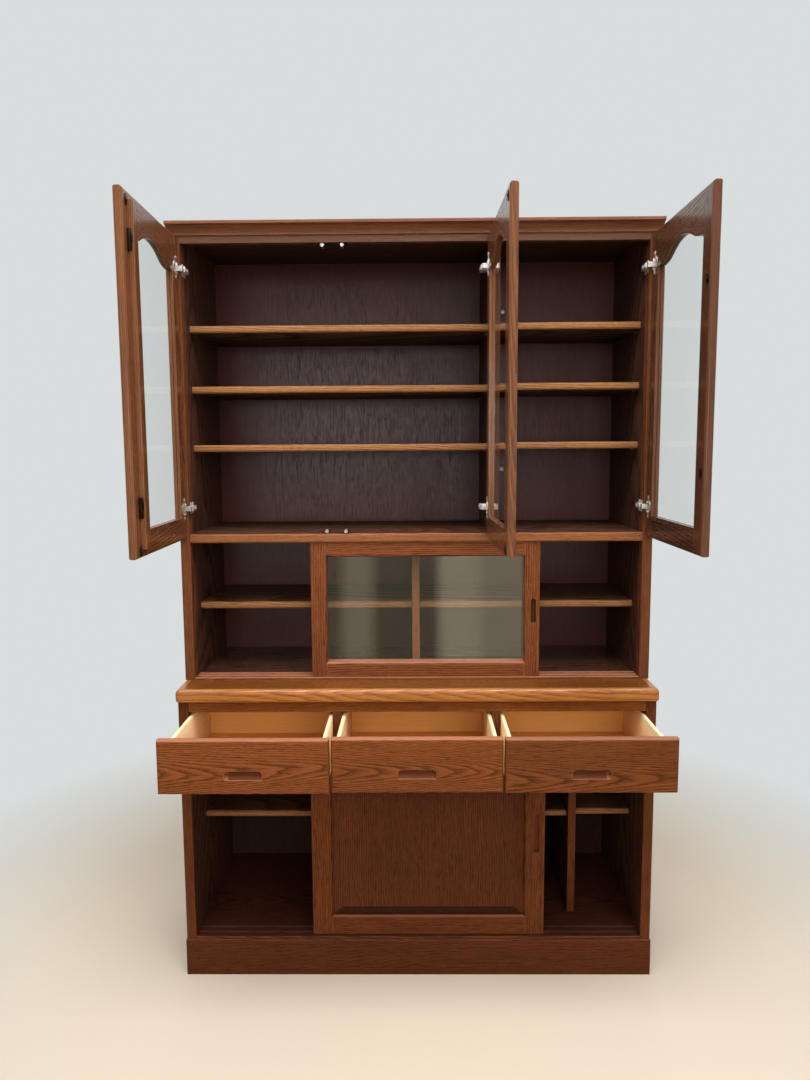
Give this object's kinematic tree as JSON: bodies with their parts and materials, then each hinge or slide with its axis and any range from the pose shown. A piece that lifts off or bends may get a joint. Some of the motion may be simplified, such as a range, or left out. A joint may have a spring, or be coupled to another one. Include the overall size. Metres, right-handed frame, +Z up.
{
  "type": "kitchen cabinet",
  "caption": "Two-part wooden kitchen cabinet with arched glass doors, a niche with glass sliders, pull-out drawers, and wooden sliding doors on a plinth.",
  "frame": {"origin": "on the floor, under the middle of the lower case", "axes": "+X to the right seen from the front, +Y from the front into the cabinet, +Z up"},
  "size_m": [1.22, 0.779, 1.926],
  "materials": {
    "case_wood": "stained oak, satin lacquer",
    "door_wood": "stained oak, satin lacquer, lighter than the case",
    "counter_wood": "stained oak, glossy lacquer",
    "shelf_wood": "stained veneer, satin lacquer",
    "back_panel_wood": "thin stained plywood",
    "drawer_box_wood": "pale orange softwood, clear lacquer",
    "clear_glass": "clear float glass",
    "hinge_steel": "nickel plated pressed steel",
    "catch_bronze": "dark bronze plated steel"
  },
  "bodies": {
    "cabinet": {"upper_left_side": "case_wood", "upper_right_side": "case_wood", "top_board": "case_wood", "cornice": "case_wood", "upper_top_rail": "case_wood", "upper_back_panel": "back_panel_wood", "upper_partition": "case_wood", "middle_board": "case_wood", "niche_partition": "case_wood", "niche_threshold": "door_wood", "upper_shelves": "shelf_wood", "niche_shelves": "shelf_wood", "shelf_pins": "hinge_steel", "countertop": "counter_wood", "lower_left_side": "case_wood", "lower_right_side": "case_wood", "lower_floor": "shelf_wood", "lower_back_panel": "back_panel_wood", "lower_rails": "case_wood", "drawer_dividers": "case_wood", "drawer_runners": "drawer_box_wood", "lower_partition": "case_wood", "lower_shelves": "shelf_wood", "plinth": "case_wood", "hinge_arms": "hinge_steel", "door_catches": "catch_bronze"},
    "left_door": {"left_door_stiles": "door_wood", "left_door_rails": "door_wood", "left_door_glass": "clear_glass", "left_door_beads": "door_wood", "left_door_hardware": "hinge_steel", "left_door_meeting_strip": "door_wood"},
    "middle_door": {"middle_door_stiles": "door_wood", "middle_door_rails": "door_wood", "middle_door_glass": "clear_glass", "middle_door_beads": "door_wood", "middle_door_hardware": "hinge_steel"},
    "right_door": {"right_door_stiles": "door_wood", "right_door_rails": "door_wood", "right_door_glass": "clear_glass", "right_door_beads": "door_wood", "right_door_hardware": "hinge_steel"},
    "front_glass_slider": {"front_glass_slider_stiles": "door_wood", "front_glass_slider_rails": "door_wood", "front_glass_slider_pane": "clear_glass"},
    "front_wood_slider": {"front_wood_slider_stiles": "door_wood", "front_wood_slider_rails": "door_wood", "front_wood_slider_panel": "door_wood"},
    "rear_glass_slider": {"rear_glass_slider_stiles": "door_wood", "rear_glass_slider_rails": "door_wood", "rear_glass_slider_pane": "clear_glass"},
    "rear_wood_slider": {"rear_wood_slider_stiles": "door_wood", "rear_wood_slider_rails": "door_wood", "rear_wood_slider_panel": "door_wood"},
    "left_drawer": {"left_drawer_front": "door_wood", "left_drawer_box": "drawer_box_wood"},
    "middle_drawer": {"middle_drawer_front": "door_wood", "middle_drawer_box": "drawer_box_wood"},
    "right_drawer": {"right_drawer_front": "door_wood", "right_drawer_box": "drawer_box_wood"}
  },
  "joints": [
    {"name": "left_door_hinge", "type": "hinge", "parent": "cabinet", "child": "left_door", "pos_m": [-0.595, -0.163, 1.5185], "axis": [0, 0, 1], "range_deg": [-6, 89]},
    {"name": "middle_door_hinge", "type": "hinge", "parent": "cabinet", "child": "middle_door", "pos_m": [0.19, -0.163, 1.5185], "axis": [0, 0, 1], "range_deg": [-91, 4]},
    {"name": "right_door_hinge", "type": "hinge", "parent": "cabinet", "child": "right_door", "pos_m": [0.595, -0.163, 1.5185], "axis": [0, 0, 1], "range_deg": [-90, 5]},
    {"name": "front_glass_slide", "type": "slide", "parent": "cabinet", "child": "front_glass_slider", "axis": [1, 0, 0], "range_m": [-0.3065, 0.2585]},
    {"name": "rear_glass_slide", "type": "slide", "parent": "cabinet", "child": "rear_glass_slider", "axis": [1, 0, 0], "range_m": [-0.3065, 0.2585]},
    {"name": "front_wood_slide", "type": "slide", "parent": "cabinet", "child": "front_wood_slider", "axis": [1, 0, 0], "range_m": [-0.3055, 0.2495]},
    {"name": "rear_wood_slide", "type": "slide", "parent": "cabinet", "child": "rear_wood_slider", "axis": [1, 0, 0], "range_m": [-0.3055, 0.2495]},
    {"name": "left_drawer_slide", "type": "slide", "parent": "cabinet", "child": "left_drawer", "axis": [0, -1, 0], "range_m": [-0.163, 0.107]},
    {"name": "middle_drawer_slide", "type": "slide", "parent": "cabinet", "child": "middle_drawer", "axis": [0, -1, 0], "range_m": [-0.156, 0.114]},
    {"name": "right_drawer_slide", "type": "slide", "parent": "cabinet", "child": "right_drawer", "axis": [0, -1, 0], "range_m": [-0.159, 0.111]}
  ]
}
